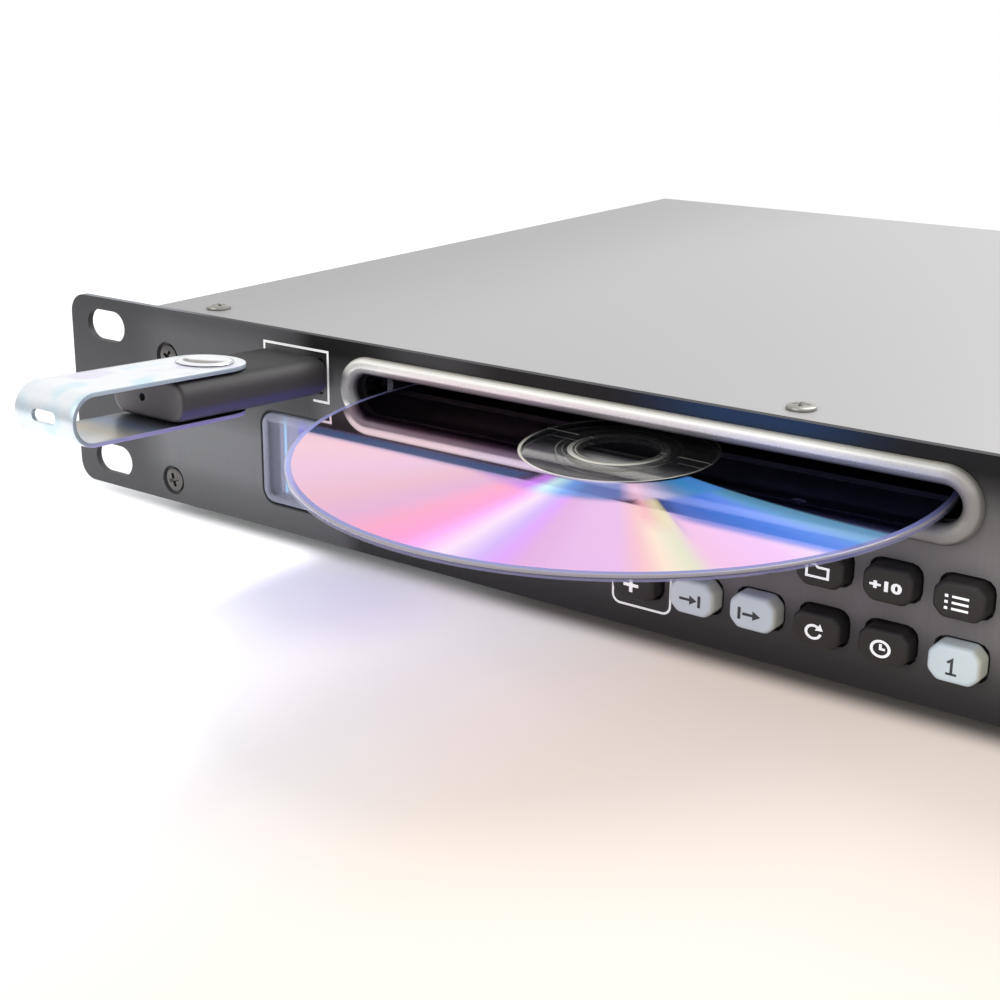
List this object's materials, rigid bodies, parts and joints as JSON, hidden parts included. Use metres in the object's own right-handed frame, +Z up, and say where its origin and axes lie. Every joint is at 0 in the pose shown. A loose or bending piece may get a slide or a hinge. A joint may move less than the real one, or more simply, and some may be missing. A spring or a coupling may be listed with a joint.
{
  "type": "rack-mount slot-loading disc player",
  "caption": "Low rack-mount disc player with a metal-rimmed loading slot, a disc half out of it, a display, rows of keys, a jog knob and a swivel-cap memory stick in its port.",
  "frame": {"origin": "centre of the front panel's face", "axes": "+X along the panel to the right seen from the front, +Y back into the case, +Z up"},
  "size_m": [0.4826, 0.2966, 0.0488],
  "materials": {
    "panel_paint": "satin charcoal with faint upright streaks",
    "cover_paint": "light grey, fine texture",
    "dark_screw": "dark plated",
    "bright_screw": "bright plated",
    "zinc_sheet": "zinc plated sheet",
    "black_sheet": "matte black sheet",
    "rubber": "matte",
    "cast_silver": "satin with a fine grain",
    "felt": "matte felt",
    "clear_lens": "clear plastic with a bevelled edge",
    "display_glass": "lit display glass on its board",
    "black_key": "matte rubbery",
    "pale_key": "translucent",
    "circuit_board": "green circuit board",
    "black_plastic": "matte",
    "grey_plastic": "matte",
    "bright_steel": "nickel plated",
    "satin_aluminium": "satin",
    "disc_mirror": "mirror with a rainbow sheen under clear plastic",
    "pale_gear": "moulded"
  },
  "bodies": {
    "chassis": {"front_panel": "panel_paint", "chassis_tray": "zinc_sheet", "top_cover": "cover_paint", "slot_bezel": "cast_silver", "slot_felt": "felt", "display_window": "clear_lens", "lcd_module": "display_glass", "control_board": "circuit_board", "main_board": "circuit_board", "power_supply": "circuit_board", "mains_inlet": "black_plastic", "audio_jacks": "black_plastic", "usb_socket": "bright_steel", "drive_frame": "zinc_sheet", "drive_lid": "black_sheet", "load_motor": "bright_steel", "foot_front_left": "rubber", "foot_rear_left": "rubber", "foot_front_right": "rubber", "foot_rear_right": "rubber", "panel_screw_left_top": "dark_screw", "panel_screw_left_low": "dark_screw", "panel_screw_right_top": "dark_screw", "panel_screw_right_low": "dark_screw", "cover_screw_left_outer": "bright_screw", "cover_screw_left_inner": "bright_screw", "cover_screw_right_inner": "bright_screw", "cover_screw_right_outer": "bright_screw"},
    "disc_body": {"disc": "disc_mirror"},
    "roller": {"loading_roller": "rubber", "roller_gear": "pale_gear"},
    "pinion": {"motor_pinion": "pale_gear"},
    "traverse": {"traverse_frame": "zinc_sheet", "spindle_motor": "bright_steel", "sled_rod_left": "bright_steel", "sled_rod_right": "bright_steel"},
    "turntable_body": {"turntable": "black_plastic"},
    "sled": {"laser_sled": "grey_plastic"},
    "stick": {"stick_body": "black_plastic", "stick_plug": "bright_steel", "stick_cap_pin": "satin_aluminium"},
    "cap": {"stick_cap": "satin_aluminium"},
    "plus_key": {"plus_button": "black_key"},
    "loop_in_key": {"loop_in_button": "pale_key"},
    "loop_out_key": {"loop_out_button": "pale_key"},
    "loop_key": {"loop_button": "black_key"},
    "time_key": {"time_button": "black_key"},
    "single_key": {"single_button": "pale_key"},
    "minus_key": {"minus_button": "black_key"},
    "previous_key": {"previous_button": "black_key"},
    "next_key": {"next_button": "black_key"},
    "folder_key": {"folder_button": "black_key"},
    "plus_ten_key": {"plus_ten_button": "black_key"},
    "program_key": {"program_button": "black_key"},
    "eject_key": {"eject_button": "black_key"},
    "play_key": {"play_button": "pale_key"},
    "cue_key": {"cue_button": "pale_key"},
    "knob": {"jog_knob": "grey_plastic"},
    "fader": {"pitch_fader": "black_plastic"},
    "rocker": {"power_rocker": "black_plastic"}
  },
  "joints": [
    {"name": "disc_slide", "type": "slide", "parent": "chassis", "child": "disc_body", "axis": [0, 0.9994, 0.0349], "range_m": [-0.062, 0.078]},
    {"name": "roller_spin", "type": "hinge", "parent": "chassis", "child": "roller", "pos_m": [-0.0908, 0.01892, 0.0073], "axis": [1, 0, 0], "range_deg": [-1180, 940]},
    {"name": "pinion_spin", "type": "hinge", "parent": "chassis", "child": "pinion", "pos_m": [-0.0908, 0.01928, -0.00289], "axis": [1, 0, 0], "range_deg": [-2250, 2830]},
    {"name": "traverse_lift", "type": "slide", "parent": "chassis", "child": "traverse", "axis": [0, -0.0349, 0.9994], "range_m": [0, 0.003]},
    {"name": "turntable_spin", "type": "hinge", "parent": "traverse", "child": "turntable_body", "pos_m": [-0.0908, 0.07675, 0.01312], "axis": [0, -0.0349, 0.9994], "continuous": true},
    {"name": "sled_slide", "type": "slide", "parent": "traverse", "child": "sled", "axis": [0, 0.9994, 0.0349], "range_m": [0, 0.033]},
    {"name": "stick_slide", "type": "slide", "parent": "chassis", "child": "stick", "axis": [0, -0.9982, 0.0602], "range_m": [0, 0.014]},
    {"name": "cap_swivel", "type": "hinge", "parent": "stick", "child": "cap", "pos_m": [-0.1706, -0.02614, 0.01574], "axis": [0, 0.0602, 0.9982], "range_deg": [-105, 45]},
    {"name": "plus_press", "type": "slide", "parent": "chassis", "child": "plus_key", "axis": [0, 1, 0], "range_m": [0, 0.0012], "stiffness_N_per_m": 400},
    {"name": "loop_in_press", "type": "slide", "parent": "chassis", "child": "loop_in_key", "axis": [0, 1, 0], "range_m": [0, 0.0012], "stiffness_N_per_m": 400},
    {"name": "loop_out_press", "type": "slide", "parent": "chassis", "child": "loop_out_key", "axis": [0, 1, 0], "range_m": [0, 0.0012], "stiffness_N_per_m": 400},
    {"name": "loop_press", "type": "slide", "parent": "chassis", "child": "loop_key", "axis": [0, 1, 0], "range_m": [0, 0.0012], "stiffness_N_per_m": 400},
    {"name": "time_press", "type": "slide", "parent": "chassis", "child": "time_key", "axis": [0, 1, 0], "range_m": [0, 0.0012], "stiffness_N_per_m": 400},
    {"name": "single_press", "type": "slide", "parent": "chassis", "child": "single_key", "axis": [0, 1, 0], "range_m": [0, 0.0012], "stiffness_N_per_m": 400},
    {"name": "minus_press", "type": "slide", "parent": "chassis", "child": "minus_key", "axis": [0, 1, 0], "range_m": [0, 0.0012], "stiffness_N_per_m": 400},
    {"name": "previous_press", "type": "slide", "parent": "chassis", "child": "previous_key", "axis": [0, 1, 0], "range_m": [0, 0.0012], "stiffness_N_per_m": 400},
    {"name": "next_press", "type": "slide", "parent": "chassis", "child": "next_key", "axis": [0, 1, 0], "range_m": [0, 0.0012], "stiffness_N_per_m": 400},
    {"name": "folder_press", "type": "slide", "parent": "chassis", "child": "folder_key", "axis": [0, 1, 0], "range_m": [0, 0.0012], "stiffness_N_per_m": 400},
    {"name": "plus_ten_press", "type": "slide", "parent": "chassis", "child": "plus_ten_key", "axis": [0, 1, 0], "range_m": [0, 0.0012], "stiffness_N_per_m": 400},
    {"name": "program_press", "type": "slide", "parent": "chassis", "child": "program_key", "axis": [0, 1, 0], "range_m": [0, 0.0012], "stiffness_N_per_m": 400},
    {"name": "eject_press", "type": "slide", "parent": "chassis", "child": "eject_key", "axis": [0, 1, 0], "range_m": [0, 0.0012], "stiffness_N_per_m": 400},
    {"name": "play_press", "type": "slide", "parent": "chassis", "child": "play_key", "axis": [0, 1, 0], "range_m": [0, 0.0012], "stiffness_N_per_m": 600},
    {"name": "cue_press", "type": "slide", "parent": "chassis", "child": "cue_key", "axis": [0, 1, 0], "range_m": [0, 0.0012], "stiffness_N_per_m": 600},
    {"name": "knob_turn", "type": "hinge", "parent": "chassis", "child": "knob", "pos_m": [0.171, 0, 0], "axis": [0, 1, 0], "continuous": true},
    {"name": "fader_slide", "type": "slide", "parent": "chassis", "child": "fader", "axis": [1, 0, 0], "range_m": [-0.025, 0.025]},
    {"name": "rocker_tilt", "type": "hinge", "parent": "chassis", "child": "rocker", "pos_m": [0.1895, 0.2212, 0], "axis": [1, 0, 0], "range_deg": [0, 14]}
  ],
  "couplings": [
    {"joint": "roller_spin", "follows": "disc_slide", "rad_per_m": -263.16},
    {"joint": "pinion_spin", "follows": "disc_slide", "rad_per_m": 631.58}
  ]
}
